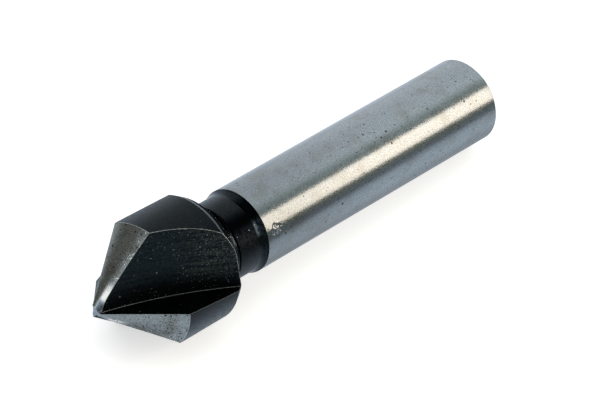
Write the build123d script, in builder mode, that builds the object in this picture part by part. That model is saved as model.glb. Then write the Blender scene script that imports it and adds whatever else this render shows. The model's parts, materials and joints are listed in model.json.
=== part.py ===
from build123d import *
import os
from math import asin, cos, degrees, radians, sin, sqrt, tan

# A three-flute 90 degree countersink bit with a plain round shank, ground from one bar of
# high-speed steel. It is drawn standing on its point, with its axis on Z, and is then laid
# down the way it comes to rest: on two corners of its head and on the rim of its shank.

# ---- driving dimensions, in millimetres and degrees ----
FLUTES = 3
OVERALL_LENGTH = 60.0
HEAD_DIAMETER = 15.0
SHANK_DIAMETER = 10.0
POINT_ANGLE = 90.0
TIP_FLAT_DIAMETER = 1.5
MARGIN_LENGTH = 7.6           # the cylindrical part of the head
REAR_BEVEL_LENGTH = 1.0
REAR_BEVEL_HEIGHT = 0.6

NECK_DIAMETER = 9.3
NECK_LENGTH = 6.4             # from the back of the head to the full shank
ROOT_RADIUS = 2.4             # the sweep from the back of the head into the neck
ROOT_LENGTH = 2.1
TURNING_LINE_WIDTH = 0.24     # the fine groove where that sweep ends
TURNING_LINE_DEPTH = 0.10
SHOULDER_RADIUS = 2.0         # the sweep from the neck up to the shank
SHANK_BEVEL = 0.3

WHEEL_RADIUS = 43.5           # the grinding wheel that sinks each flute
WHEEL_WIDTH = 13.0
WHEEL_HUB_RADIUS = 25.0
RIM_TAPER = 4.6               # slope of the wheel's rim, which grinds the back wall
SIDE_RELIEF = 1.0             # hollow of its side, which grinds the cutting face
WHEEL_LEAN = 5.0              # its lean to the bit's axis, which gives the edges a slight twist
WHEEL_AHEAD = 15.2            # the wheel's centre stands this far ahead of the base of the cone
WHEEL_BELOW_AXIS = 0.32       # and its rim would reach this far beyond the bit's axis
RAKE_OFFSET = 0.53            # the cutting faces stand this far behind the centre line

CONE_RELIEF_OFFSET = 0.45     # each cone land is ground about a centre this far off the axis
MARGIN_RELIEF_OFFSET = 0.11   # and each margin about a centre this far off the axis
RELIEF_LEAD_ANGLE = 70.0      # from the cutting edge forward to the high side of the relief
SECTOR_START = -20.0          # each land's share of the head starts in the flute before it
GRINDING_STOCK = 0.4          # metal that the relief grinding takes off the turned blank
CLEAR_OF_BIT = 12.0           # a radius well outside the head

FLOOR_DIRECTION = -16.69      # the side that lies lowest, measured like the lands' angles
RESTING_DIP = 2.22            # the axis dips this much towards the end of the shank

# ---- stations along the axis, measured from the tip, and radii ----
head_radius = HEAD_DIAMETER / 2
shank_radius = SHANK_DIAMETER / 2
neck_radius = NECK_DIAMETER / 2
tip_radius = TIP_FLAT_DIAMETER / 2
cone_slope = tan(radians(POINT_ANGLE / 2))
cone_base = (head_radius - tip_radius) / cone_slope
margin_end = cone_base + MARGIN_LENGTH
head_end = margin_end + REAR_BEVEL_LENGTH
root_end = head_end + ROOT_LENGTH
root_radius_at_head = neck_radius + ROOT_RADIUS - sqrt(ROOT_RADIUS**2 - ROOT_LENGTH**2)
turning_line = root_end + TURNING_LINE_WIDTH / 2
turning_line_end = root_end + TURNING_LINE_WIDTH
shank_start = head_end + NECK_LENGTH
shoulder_rise = shank_radius - neck_radius
shoulder_start = shank_start - sqrt(2 * SHOULDER_RADIUS * shoulder_rise - shoulder_rise**2)
blank_radius = head_radius + GRINDING_STOCK
sector_angle = 360 / FLUTES

# ---- the grinding wheel, in its place beside the first flute ----
lean = radians(WHEEL_LEAN)
wheel_direction = Vector(0, -cos(lean), sin(lean))
rake_plane = Plane(
    origin=Vector(0, 0, cone_base) - wheel_direction * RAKE_OFFSET,
    x_dir=(1, 0, 0),
    z_dir=wheel_direction,
)
wheel_centre = rake_plane.from_local_coords(
    Vector(WHEEL_RADIUS - WHEEL_BELOW_AXIS, -WHEEL_AHEAD, 0)
)
wheel_section = Plane(
    origin=wheel_centre,
    x_dir=rake_plane.x_dir,
    z_dir=rake_plane.x_dir.cross(wheel_direction),
)
side_hollow = (WHEEL_RADIUS - WHEEL_HUB_RADIUS) * tan(radians(SIDE_RELIEF))
rim_rise = WHEEL_WIDTH * tan(radians(RIM_TAPER))

with BuildPart() as grinding_wheel:
    with BuildSketch(wheel_section):
        with BuildLine():
            Polyline(
                (0, side_hollow),
                (WHEEL_HUB_RADIUS, side_hollow),
                (WHEEL_RADIUS, 0),
                (WHEEL_RADIUS + rim_rise, WHEEL_WIDTH),
                (0, WHEEL_WIDTH),
                close=True,
            )
        make_face()
    revolve(axis=Axis(wheel_centre, wheel_direction))

# ---- what relief grinding takes off one land, about a centre off the bit's axis ----
# Behind its cutting edge each land falls away, because the off-centre circle does. The
# circle meets the bit's true outline just at the edge, so its own radius is a little less.
edge_angle = degrees(asin(RAKE_OFFSET / head_radius))
relief_angle = radians(edge_angle - RELIEF_LEAD_ANGLE)
relief_direction = Vector(cos(relief_angle), sin(relief_angle), 0)
edge_share = cos(radians(RELIEF_LEAD_ANGLE))
sector_direction = Vector(cos(radians(SECTOR_START)), sin(radians(SECTOR_START)), 0)


def relief_axis(offset):
    """The line that a land is ground about."""
    return Axis(relief_direction * offset, (0, 0, 1))


def relief_section(offset):
    """The plane of a land's profile, through its grinding line and the start of its sector."""
    return Plane(
        origin=relief_direction * offset,
        x_dir=sector_direction,
        z_dir=sector_direction.cross(Vector(0, 0, 1)),
    )


cone_run_out = 0.25
cone_tip_radius = tip_radius - CONE_RELIEF_OFFSET * edge_share
cone_top = cone_base + (CLEAR_OF_BIT - head_radius) / cone_slope
cone_top_radius = cone_tip_radius + cone_top * cone_slope

with BuildPart() as cone_grinding:
    with BuildSketch(relief_section(CONE_RELIEF_OFFSET)):
        with BuildLine():
            Polyline(
                (cone_tip_radius - cone_run_out * cone_slope, -cone_run_out),
                (CLEAR_OF_BIT, -cone_run_out),
                (CLEAR_OF_BIT, cone_top),
                (cone_top_radius, cone_top),
                close=True,
            )
        make_face()
    revolve(axis=relief_axis(CONE_RELIEF_OFFSET), revolution_arc=sector_angle)

margin_run_out = 0.5
margin_radius = head_radius - MARGIN_RELIEF_OFFSET * edge_share
bevel_slope = REAR_BEVEL_HEIGHT / REAR_BEVEL_LENGTH

with BuildPart() as margin_grinding:
    with BuildSketch(relief_section(MARGIN_RELIEF_OFFSET)):
        with BuildLine():
            Polyline(
                (margin_radius, cone_base - 3 * margin_run_out),
                (CLEAR_OF_BIT, cone_base - 3 * margin_run_out),
                (CLEAR_OF_BIT, head_end + margin_run_out),
                (margin_radius - REAR_BEVEL_HEIGHT - margin_run_out * bevel_slope, head_end + margin_run_out),
                (margin_radius, margin_end),
                close=True,
            )
        make_face()
    revolve(axis=relief_axis(MARGIN_RELIEF_OFFSET), revolution_arc=sector_angle)

# ---- the bit: turned from bar, fluted by the wheel, then relieved land by land ----
with BuildPart() as upright_bit:
    with BuildSketch(Plane.XZ):
        with BuildLine():
            Polyline(
                (0, 0),
                (tip_radius + GRINDING_STOCK, 0),
                (blank_radius, cone_base),
                (blank_radius, head_end),
                (root_radius_at_head, head_end),
            )
            RadiusArc((root_radius_at_head, head_end), (neck_radius, root_end), ROOT_RADIUS)
            Polyline(
                (neck_radius, root_end),
                (neck_radius - TURNING_LINE_DEPTH, turning_line),
                (neck_radius, turning_line_end),
                (neck_radius, shoulder_start),
            )
            RadiusArc((neck_radius, shoulder_start), (shank_radius, shank_start), SHOULDER_RADIUS)
            Polyline(
                (shank_radius, shank_start),
                (shank_radius, OVERALL_LENGTH - SHANK_BEVEL),
                (shank_radius - SHANK_BEVEL, OVERALL_LENGTH),
                (0, OVERALL_LENGTH),
                (0, 0),
            )
        make_face()
    revolve(axis=Axis.Z)

    for tool in (grinding_wheel, margin_grinding, cone_grinding):
        for land in range(FLUTES):
            with PolarLocations(0, 1, start_angle=land * sector_angle):
                add(tool.part, mode=Mode.SUBTRACT)

# ---- lay it down: the flute that faces the floor bridges between two corners of the head ----
floor_angle = radians(FLOOR_DIRECTION)
dip = radians(RESTING_DIP)
outward = Vector(cos(floor_angle), sin(floor_angle), 0)
tool_axis = Vector(0, 0, 1)
lying_plane = Plane(
    origin=(0, 0, 0),
    x_dir=tool_axis * cos(dip) - outward * sin(dip),
    z_dir=(outward * cos(dip) + tool_axis * sin(dip)) * -1,
)
lying_box = lying_plane.to_local_coords(upright_bit.part).bounding_box()
floor_centre = Vector(lying_box.center().X, lying_box.center().Y, lying_box.min.Z)
rest_plane = Plane(
    origin=lying_plane.from_local_coords(floor_centre),
    x_dir=lying_plane.x_dir,
    z_dir=lying_plane.z_dir,
)

with BuildPart() as countersink_bit:
    add(rest_plane.to_local_coords(upright_bit.part))

countersink_bit.part.label = "countersink_bit"
os.makedirs("parts", exist_ok=True)
export_step(countersink_bit.part, "parts/countersink_bit.step")

# ---- what a user of the bit needs to know about where it lies ----
shank_middle = rest_plane.to_local_coords(Vector(0, 0, (shank_start + OVERALL_LENGTH - SHANK_BEVEL) / 2))
shank_end = rest_plane.to_local_coords(Vector(0, 0, OVERALL_LENGTH))
tip = rest_plane.to_local_coords(Vector(0, 0, 0))
print("tip of the bit:", tip)
print("middle of the shank:", shank_middle)
print("centre of the shank's end:", shank_end)
print("direction from tip to shank:", (shank_end - tip).normalized())
print("length of the full shank:", round(OVERALL_LENGTH - SHANK_BEVEL - shank_start, 3))
print("lowest point:", round(countersink_bit.part.bounding_box().min.Z, 5))
print("volume, in cubic millimetres:", round(countersink_bit.part.volume, 1))
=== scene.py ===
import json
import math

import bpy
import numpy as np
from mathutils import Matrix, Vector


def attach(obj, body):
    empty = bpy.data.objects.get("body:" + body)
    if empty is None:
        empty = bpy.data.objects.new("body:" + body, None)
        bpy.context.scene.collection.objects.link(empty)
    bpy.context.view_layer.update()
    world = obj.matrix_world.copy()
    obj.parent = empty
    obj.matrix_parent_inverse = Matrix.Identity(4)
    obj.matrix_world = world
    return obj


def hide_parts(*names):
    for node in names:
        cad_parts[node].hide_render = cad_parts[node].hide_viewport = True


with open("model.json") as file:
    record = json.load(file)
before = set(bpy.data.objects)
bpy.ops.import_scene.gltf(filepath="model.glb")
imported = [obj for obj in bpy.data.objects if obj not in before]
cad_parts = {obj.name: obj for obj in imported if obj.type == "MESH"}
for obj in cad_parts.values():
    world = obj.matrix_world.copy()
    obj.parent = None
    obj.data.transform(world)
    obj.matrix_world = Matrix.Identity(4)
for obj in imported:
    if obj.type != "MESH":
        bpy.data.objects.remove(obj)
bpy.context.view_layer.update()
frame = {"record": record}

# %% [markdown]
# ## A three-flute countersink bit
# The real bit is one bar of high-speed steel. A lathe turns it to a blank with a cone on its
# nose, a grinding wheel sinks three flutes into its head, and a hot salt bath turns it black.
# The lands between the flutes and the shank are ground last, so they are the bright places,
# and the flutes, the margins and the neck keep their black skin. The scene makes the blank
# first, then the finishes, then the wheel that cuts the flutes, and last the light.

MM = 0.001
shank_mount = frame["record"]["mounts"][0]

# %% [markdown]
# ## The sizes of the bit
# The sizes could be read off a finished mesh, but a maker works from a drawing. So every size
# here is a real one in millimetres, and one matrix turns them all into Blender's metres. A few
# sizes drive the others: the places along the axis are sums of them, so that one change moves
# everything behind it.

# %% The driving sizes in millimetres, and the places along the axis, counted from the point
FLUTES = 3
OVERALL_LENGTH = 60.0
HEAD_RADIUS = 7.5
SHANK_RADIUS = 5.0
TIP_RADIUS = 0.75
MARGIN_LENGTH = 7.6
REAR_BEVEL_LENGTH = 1.0
REAR_BEVEL_HEIGHT = 0.6
NECK_RADIUS = 4.65
NECK_LENGTH = 6.4
ROOT_RADIUS = 2.4
ROOT_LENGTH = 2.1
TURNING_LINE_WIDTH = 0.24
TURNING_LINE_DEPTH = 0.10
SHOULDER_RADIUS = 2.0
SHANK_BEVEL = 0.3

cone_base = HEAD_RADIUS - TIP_RADIUS          # the cone's sides stand at 45 degrees
margin_end = cone_base + MARGIN_LENGTH
head_end = margin_end + REAR_BEVEL_LENGTH
root_end = head_end + ROOT_LENGTH
line_middle = root_end + TURNING_LINE_WIDTH / 2
line_end = root_end + TURNING_LINE_WIDTH
shank_start = head_end + NECK_LENGTH
shoulder_rise = SHANK_RADIUS - NECK_RADIUS
shoulder_start = shank_start - math.sqrt(2 * SHOULDER_RADIUS * shoulder_rise - shoulder_rise ** 2)
root_top = NECK_RADIUS + ROOT_RADIUS - math.sqrt(ROOT_RADIUS ** 2 - ROOT_LENGTH ** 2)
print("base of the cone, end of the head, start of the shank:",
      [round(station, 2) for station in (cone_base, head_end, shank_start)])

# %% [markdown]
# ## How the bit lies
# Every shape is first drawn upright, with the point at the origin and the axis on Z, because
# that is how a turned thing is easiest to describe. The real bit comes to rest on two corners
# of its head and on the rim of its shank. It could be turned by hand until it looks right, but
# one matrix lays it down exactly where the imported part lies: two angles say how it rests, and
# its place comes from the shank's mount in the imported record. The same matrix, turned round,
# lets a material ask how far along the bit a point is.

# %% The lying matrix: from upright millimetres to the table, in metres
FLOOR_DIRECTION = math.radians(-16.69)        # the side of the bit that lies lowest
RESTING_DIP = math.radians(2.22)              # the axis dips this much towards the shank

shank_axis = Vector(shank_mount["axis"]).normalized()
shank_middle = Vector(shank_mount["pos_m"])
grip_length = shank_mount["dims"]["length_mm"]
tip_place = shank_middle - shank_axis * (shank_start + grip_length / 2) * MM

floor_side = Vector((math.cos(FLOOR_DIRECTION), math.sin(FLOOR_DIRECTION), 0))
upright_axis = Vector((0, 0, 1))
world_x = upright_axis * math.cos(RESTING_DIP) - floor_side * math.sin(RESTING_DIP)
world_z = -(floor_side * math.cos(RESTING_DIP) + upright_axis * math.sin(RESTING_DIP))
turn = Matrix((world_x, world_z.cross(world_x), world_z))
lay_down = Matrix.Translation(tip_place) @ turn.to_4x4() @ Matrix.Scale(MM, 4)
off_axis = (turn @ upright_axis).angle(shank_axis)
print("the point lands at, in millimetres:", [round(c / MM, 3) for c in lay_down.translation])
print("the axis agrees with the mount's to", round(math.degrees(off_axis), 3), "degrees")

# %% [markdown]
# ## The outline of the blank
# A turned thing is one outline carried round its axis. The outline could be a curve with a
# Screw modifier, but the lands need their own small change of radius by angle, so it is kept
# as plain points: a radius and a station along the axis. Each stretch says which finish it
# gets. The cone is black here like the margins, and is ground bright once the flutes are cut.

# %% The outline, stretch by stretch
WHOLE_TURN = 2 * math.pi
CONE_STEPS = 24
MARGIN_STEPS = 8
ROOT_STEPS = 16
SHOULDER_STEPS = 10
SHANK_STEPS = 12


def arc_points(start, end, radius, steps):
    """The points between start and end, as (radius, station), on an arc that dips inwards."""
    (start_radius, start_station), (end_radius, end_station) = start, end
    across, along = end_radius - start_radius, end_station - start_station
    chord = math.hypot(across, along)
    rise = math.sqrt(radius ** 2 - (chord / 2) ** 2)
    centre_radius = (start_radius + end_radius) / 2 + along / chord * rise
    centre_station = (start_station + end_station) / 2 - across / chord * rise
    first = math.atan2(start_station - centre_station, start_radius - centre_radius)
    last = math.atan2(end_station - centre_station, end_radius - centre_radius)
    sweep = (last - first + math.pi) % WHOLE_TURN - math.pi
    stops = [first + sweep * i / steps for i in range(1, steps)]
    return [(centre_radius + radius * math.cos(stop), centre_station + radius * math.sin(stop))
            for stop in stops]


shank_length = OVERALL_LENGTH - SHANK_BEVEL - shank_start
outline = [
    ("tip", [(0.0, 0.0)]),
    ("margin", [(TIP_RADIUS + cone_base * i / CONE_STEPS, cone_base * i / CONE_STEPS)
                for i in range(CONE_STEPS + 1)]),
    ("margin", [(HEAD_RADIUS, cone_base + MARGIN_LENGTH * i / MARGIN_STEPS)
                for i in range(1, MARGIN_STEPS + 1)]),
    ("rear", [(HEAD_RADIUS - REAR_BEVEL_HEIGHT, head_end), (root_top, head_end)]),
    ("root", arc_points((root_top, head_end), (NECK_RADIUS, root_end), ROOT_RADIUS, ROOT_STEPS)
     + [(NECK_RADIUS, root_end)]),
    ("neck", [(NECK_RADIUS - TURNING_LINE_DEPTH, line_middle), (NECK_RADIUS, line_end),
              (NECK_RADIUS, shoulder_start)]),
    ("shoulder", arc_points((NECK_RADIUS, shoulder_start), (SHANK_RADIUS, shank_start),
                            SHOULDER_RADIUS, SHOULDER_STEPS) + [(SHANK_RADIUS, shank_start)]),
    ("shank", [(SHANK_RADIUS, shank_start + shank_length * i / SHANK_STEPS)
               for i in range(1, SHANK_STEPS + 1)]),
    ("end", [(SHANK_RADIUS - SHANK_BEVEL, OVERALL_LENGTH), (0.0, OVERALL_LENGTH)]),
]
print("outline:", len(outline), "stretches,", sum(len(points) for _, points in outline), "points")

# %% [markdown]
# ## The relief of the lands
# Behind each cutting edge the land has to fall away, or it would rub and not cut. The real
# lands are ground about lines a little off the bit's axis. Carried round the axis, that is a
# small change of radius that follows a cosine and starts afresh every 120 degrees. The jump
# from one land to the next lies where a flute will be cut. A node could move the points of a
# finished blank, but a ring that is made relieved from the start can also be shifted along the
# axis, so that the cone and the margin still meet in one clean edge.

# %% Relief: how much each land falls away, by angle
RAKE_OFFSET = 0.53                            # the cutting faces stand this far off the centre
CONE_RELIEF_OFFSET = 0.45                     # how far off the axis a land is ground
MARGIN_RELIEF_OFFSET = 0.11
RELIEF_LEAD_ANGLE = math.radians(70.0)        # from the edge forward to the relief's high side
SECTOR_START = math.radians(-20.0)            # each land's share starts in the flute before it
SECTOR = WHOLE_TURN / FLUTES
edge_angle = math.asin(RAKE_OFFSET / HEAD_RADIUS)


def relief(angle, offset):
    """The change of radius at an angle, for a land ground about a line this far off the axis."""
    within = (angle - SECTOR_START) % SECTOR + SECTOR_START
    return offset * (np.cos(within - edge_angle + RELIEF_LEAD_ANGLE) - math.cos(RELIEF_LEAD_ANGLE))


HEEL_ANGLE = math.radians(45.0)
print("a cone land falls away by", round(-float(relief(HEEL_ANGLE, CONE_RELIEF_OFFSET)), 2),
      "mm from its edge to its heel")

# %% One ring of the blank, with the relief ground into it
NEARLY = 1e-6                                 # forgives rounding where two stretches meet
CLEAR_OF_ROOT = 0.5                           # rings nearer to the root's radius aren't relieved


def blank_ring(radius, station, angles):
    """One ring of points at a station, as rows of x, y and z."""
    cone_drop = relief(angles, CONE_RELIEF_OFFSET)
    margin_drop = relief(angles, MARGIN_RELIEF_OFFSET)
    drop = np.zeros_like(angles)
    shift = np.zeros_like(angles)
    if radius > 0 and station < cone_base + NEARLY:
        share = station / cone_base
        drop = cone_drop + (margin_drop - cone_drop) * share
        shift = (margin_drop - cone_drop) * share
    elif station < head_end + NEARLY and radius > root_top + CLEAR_OF_ROOT:
        drop = margin_drop
    ground_radius = radius + drop
    return np.stack([ground_radius * np.cos(angles), ground_radius * np.sin(angles),
                     station + shift], axis=1)


RING_POINTS = 360
angles = SECTOR_START + (np.arange(RING_POINTS) + 0.5) * WHOLE_TURN / RING_POINTS
base_ring = blank_ring(HEAD_RADIUS, cone_base, angles)
print("the base of the cone reaches a radius of", round(float(np.hypot(*base_ring.T[:2]).max()), 3))

# %% The blank's mesh: rings joined by four-sided faces, and closed by a point at each end
rings = [(finish, radius, station) for finish, points in outline for radius, station in points][1:-1]
vertices = [(0.0, 0.0, 0.0)]
for _, radius, station in rings:
    vertices.extend(blank_ring(radius, station, angles).tolist())
vertices.append((0.0, 0.0, OVERALL_LENGTH))

far_point = len(vertices) - 1
last_ring = far_point - RING_POINTS
faces, face_finishes = [], []
for i in range(RING_POINTS):
    j = (i + 1) % RING_POINTS
    faces.append((0, 1 + j, 1 + i))
    face_finishes.append("tip")
    faces.append((far_point, last_ring + i, last_ring + j))
    face_finishes.append("end")
    for ring, (finish, _, _) in enumerate(rings[1:]):
        low = 1 + ring * RING_POINTS
        high = low + RING_POINTS
        faces.append((low + i, low + j, high + j, high + i))
        face_finishes.append(finish)

blank_mesh = bpy.data.meshes.new("blank")
blank_mesh.from_pydata(vertices, [], faces)
blank_mesh.validate()
blank = bpy.data.objects.new("ground_bit", blank_mesh)
bpy.context.scene.collection.objects.link(blank)
print("blank:", len(blank_mesh.vertices), "points,", len(blank_mesh.polygons), "faces")

# %% [markdown]
# ## Where the grinding wheel stands
# A flute is the print of a wheel. It could be a hand-made cutter in the flute's own shape, but
# the real wheel's size and place decide every edge of the flute, so they are all that has to
# be right. The wheel stands along the bit but for a small lean, which gives the cutting edges
# a slight twist. Its side grinds the cutting face and its rim grinds the wide floor. Its centre
# is ahead of the point, so the floor rises in an arch towards the back of the head.

# %% The wheel's size and place, in upright millimetres
WHEEL_RADIUS = 43.5
WHEEL_WIDTH = 13.0
RIM_TAPER = math.radians(4.6)                 # the rim slopes, and opens the flute out
SIDE_RELIEF = math.radians(1.0)               # the side is slightly hollow, so only its rim cuts
WHEEL_LEAN = math.radians(5.0)
WHEEL_AHEAD = 15.2                            # of the base of the cone
WHEEL_BELOW_AXIS = 0.32                       # the rim reaches this far beyond the bit's axis
FLUTE_START = math.radians(-100.0)            # the first flute lies from here to 20 degrees

wheel_axis = Vector((0, -math.cos(WHEEL_LEAN), math.sin(WHEEL_LEAN)))
wheel_across = Vector((1, 0, 0))
wheel_along = wheel_axis.cross(wheel_across)
wheel_centre = (
    Vector((0, 0, cone_base)) - wheel_axis * RAKE_OFFSET
    + wheel_across * (WHEEL_RADIUS - WHEEL_BELOW_AXIS) - wheel_along * WHEEL_AHEAD
)
wheel_turn = Matrix((wheel_across, wheel_along, wheel_axis)).transposed()
print("wheel centre:", [round(c, 2) for c in wheel_centre])

# %% [markdown]
# ## Small helpers for node trees
# A material or a geometry tree is a list of nodes joined by links. It could be laid out by
# hand in the node editor, but a script can repeat it and explain it. One function adds a node,
# gives it its settings, and fills its inputs with values or with other nodes' outputs. The
# nodes used most are named once, with their settings, so that a tree reads like a sum.

# %% One function that adds a node, and one that reads a screen colour
def add(tree, kind, inputs=(), output=None, **settings):
    """Adds a node and returns one of its outputs, the first one if no name is given.

    kind is a node's type, or a type with its usual settings. inputs is a list, in the order
    in which the node shows its sockets, or a dict by their names. A value in it is set, and
    another node's output is linked. An output's .node.outputs holds the node's other outputs.
    """
    node_type, usual_settings = kind if isinstance(kind, tuple) else (kind, {})
    node = tree.nodes.new(node_type)
    for name, value in {**usual_settings, **settings}.items():
        setattr(node, name, value)
    sockets = [socket for socket in node.inputs if socket.enabled]
    if isinstance(inputs, dict):
        sockets = [node.inputs[name] for name in inputs]
        inputs = inputs.values()
    for socket, value in zip(sockets, inputs):
        if isinstance(value, bpy.types.NodeSocket):
            tree.links.new(value, socket)
        else:
            socket.default_value = value
    if output:
        return node.outputs[output]
    return next((socket for socket in node.outputs if socket.enabled), None)


def colour(hex_code):
    """Turns an sRGB hex colour, as a screen shows it, into the linear values that nodes use."""
    channels = [int(hex_code[i:i + 2], 16) / 255 for i in (1, 3, 5)]
    linear = [c / 12.92 if c <= 0.04045 else ((c + 0.055) / 1.055) ** 2.4 for c in channels]
    return (*linear, 1.0)


print("middle grey on a screen is", round(colour("#808080")[0], 3), "in a node")

# %% The nodes used most, with their settings
TIMES = ("ShaderNodeMath", {"operation": "MULTIPLY"})
PLUS = ("ShaderNodeMath", {"operation": "ADD"})
MINUS = ("ShaderNodeMath", {"operation": "SUBTRACT"})
OVER_BY = ("ShaderNodeMath", {"operation": "DIVIDE"})
TIMES_PLUS = ("ShaderNodeMath", {"operation": "MULTIPLY_ADD"})
LARGER = ("ShaderNodeMath", {"operation": "MAXIMUM"})
LESS_THAN = ("ShaderNodeMath", {"operation": "LESS_THAN"})
CLOSE_TO = ("ShaderNodeMath", {"operation": "COMPARE"})
SIZE_OF = ("ShaderNodeMath", {"operation": "ABSOLUTE"})
WHOLE_PART = ("ShaderNodeMath", {"operation": "FLOOR"})
REMAINDER = ("ShaderNodeMath", {"operation": "FLOORED_MODULO"})
ANGLE_OF = ("ShaderNodeMath", {"operation": "ARCTAN2"})
ALONG = ("ShaderNodeVectorMath", {"operation": "DOT_PRODUCT"})
LENGTH = ("ShaderNodeVectorMath", {"operation": "LENGTH"})
DISTANCE = ("ShaderNodeVectorMath", {"operation": "DISTANCE"})
SPLIT = ("ShaderNodeSeparateXYZ", {})
JOIN = ("ShaderNodeCombineXYZ", {})
# FADE takes a value, where its fade starts and ends, and what it fades from and to.
FADE = ("ShaderNodeMapRange", {"interpolation_type": "SMOOTHSTEP"})
# LAYER takes a share, the colour below and the colour that is laid over it.
LAYER = ("ShaderNodeMix", {"data_type": "RGBA"})
print("named nodes: sums, angles, lengths, FADE and LAYER")

# %% [markdown]
# ## Finding one's way round the bit in a material
# The bit lies askew on the table, so its own directions are not the scene's. One Mapping node
# turns Object coordinates back into upright millimetres. From there the height is how far along
# the bit a point is, and the angle about the axis says which land or flute it is on. A UV map
# could do the same, but it would have seams, and the cuts would tear it.

# %% Helpers: the upright place, and the angle about the axis
stand_up = turn.transposed()
stand_up_turn = stand_up.to_euler()
stand_up_shift = -(stand_up @ tip_place) / MM
FULL_SHARE = 0.3                              # a patch is whole within this share of its reach


def upright_place(tree):
    """The place on the bit in upright millimetres."""
    return add(tree, "ShaderNodeMapping", {
        "Vector": add(tree, "ShaderNodeTexCoord", output="Object"),
        "Location": stand_up_shift, "Rotation": stand_up_turn, "Scale": (1 / MM,) * 3,
    })


def angle_round(tree, place):
    """The angle about the axis, in radians, from nothing to a whole turn."""
    parts = add(tree, SPLIT, [place]).node.outputs
    return add(tree, REMAINDER, [add(tree, ANGLE_OF, [parts["Y"], parts["X"]]), WHOLE_TURN])


def angle_past_edge(tree, place):
    """The same angle, counted afresh from each of the three cutting edges."""
    return add(tree, REMAINDER, [angle_round(tree, place), SECTOR])


def near_angle(tree, angle, middle, reach):
    """Goes from 0 to 1 towards a middle angle. The middle and the reach are in degrees."""
    away = add(tree, SIZE_OF, [add(tree, MINUS, [angle, math.radians(middle)])])
    return add(tree, FADE, [away, math.radians(reach), math.radians(reach) * FULL_SHARE])


print("a material stands the bit up by turning it", [round(math.degrees(a)) for a in stand_up_turn])

# %% Helper: the place on the wheel that cut a point
def wheel_place(tree, place):
    """Where a point was on the wheel, in millimetres: its Z is the distance from the side."""
    past_start = add(tree, MINUS, [angle_round(tree, place), FLUTE_START])
    flute = add(tree, WHOLE_PART, [add(tree, OVER_BY, [past_start, SECTOR])])
    on_first_flute = add(tree, "ShaderNodeVectorRotate", {
        "Vector": place, "Angle": add(tree, TIMES, [flute, -SECTOR]),
    }, rotation_type="Z_AXIS")
    undo = wheel_turn.transposed()
    return add(tree, "ShaderNodeMapping", {
        "Vector": on_first_flute, "Location": -(undo @ wheel_centre), "Rotation": undo.to_euler(),
    })


print("the wheel's own place is found for", FLUTES, "flutes alike")

# %% [markdown]
# ## Patterns that every finish uses
# Grain, stain, turning lines and pits differ in size and shape, but they are all noise or
# scattered dots. Noise that is stretched round the axis and not along it gives the lines that
# a lathe or a wheel leaves. A picture of real steel could be wrapped on instead, but it would
# stretch on the cone and show its seam. Each pattern's size is given in real millimetres. The
# finest ones, such as grinding lines of a few hundredths, are drawn coarser, because they
# would melt into a flat grey at this size.

# %% Helpers: soft noise, and scattered dots
NOISE_ROUGHNESS = 0.55
DOT_CORE = 0.45                               # a dot is whole within this share of its radius


def cloud(tree, place, grain, detail=2.0, stretch=(1, 1, 1), seed=0.0):
    """Noise from 0 to 1 whose blotches are about grain millimetres across, times the stretch."""
    moved = add(tree, "ShaderNodeMapping", {
        "Vector": place, "Location": (seed,) * 3, "Scale": [1 / (grain * s) for s in stretch],
    })
    return add(tree, "ShaderNodeTexNoise", {
        "Vector": moved, "Scale": 1.0, "Detail": detail, "Roughness": NOISE_ROUGHNESS,
    })


def dots(tree, place, spacing, size, share, seed=0.0):
    """Scattered dots, a spacing apart and up to size across. share is how many of them show."""
    moved = add(tree, "ShaderNodeMapping", {
        "Vector": place, "Location": (seed,) * 3, "Scale": (1 / spacing,) * 3,
    })
    cells = add(tree, "ShaderNodeTexVoronoi", {"Vector": moved, "Scale": 1.0}).node.outputs
    chance = add(tree, "ShaderNodeSeparateColor", [cells["Color"]]).node.outputs
    radius = add(tree, TIMES, [chance["Green"], size / 2 / spacing])
    inside = add(tree, FADE, [cells["Distance"], radius, add(tree, TIMES, [radius, DOT_CORE])])
    return add(tree, TIMES, [inside, add(tree, LESS_THAN, [chance["Red"], share])])


print("patterns: cloud and dots")

# %% Helpers: worn edges, fine relief, and a new material
BEVEL_SAMPLES = 6
EDGE_STARTS = 0.995                           # how well the rounded and the flat normal agree
EDGE_FULL = 0.96


def worn_edge(tree, radius):
    """Where a sharp edge is near, from 0 to 1, and the normal as if the edge were rounded."""
    rounded = add(tree, "ShaderNodeBevel", {"Radius": radius * MM}, samples=BEVEL_SAMPLES)
    agree = add(tree, ALONG, [rounded, add(tree, "ShaderNodeNewGeometry", output="Normal")])
    return add(tree, FADE, [agree, EDGE_STARTS, EDGE_FULL]), rounded


def roughen(tree, shader, heights, normal=None):
    """Adds fine relief to a shader. heights is a list of (pattern, depth in millimetres)."""
    for height, depth in heights:
        bump = {"Height": height, "Distance": depth * MM, "Strength": 1.0}
        if normal is not None:
            bump["Normal"] = normal
        normal = add(tree, "ShaderNodeBump", bump)
    tree.links.new(normal, shader.inputs["Normal"])


def new_material(name):
    """A metal with its tree, its shader, and the place on the bit."""
    material = bpy.data.materials.new(name)
    material.use_nodes = True
    tree = material.node_tree
    shader = tree.nodes["Principled BSDF"]
    shader.inputs["Metallic"].default_value = 1.0
    return material, tree, shader, upright_place(tree)


print("an edge shows where the normal turns by", round(math.degrees(math.acos(EDGE_STARTS)), 1),
      "degrees or more")

# %% [markdown]
# ## Ground steel
# High-speed steel that was ground and left bare is bright and a little blue. Its surface is a
# field of crossed scratches about a hundredth of a millimetre apart, which the eye takes for a
# fine grain that softens every reflection. An anisotropic shader could smear the reflections
# round the bit, but the scratches cross, so they stay as they are. Two layers of noise are
# enough here, one even and one drawn out round the axis. Stain, pits and worn edges lie on top.

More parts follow.
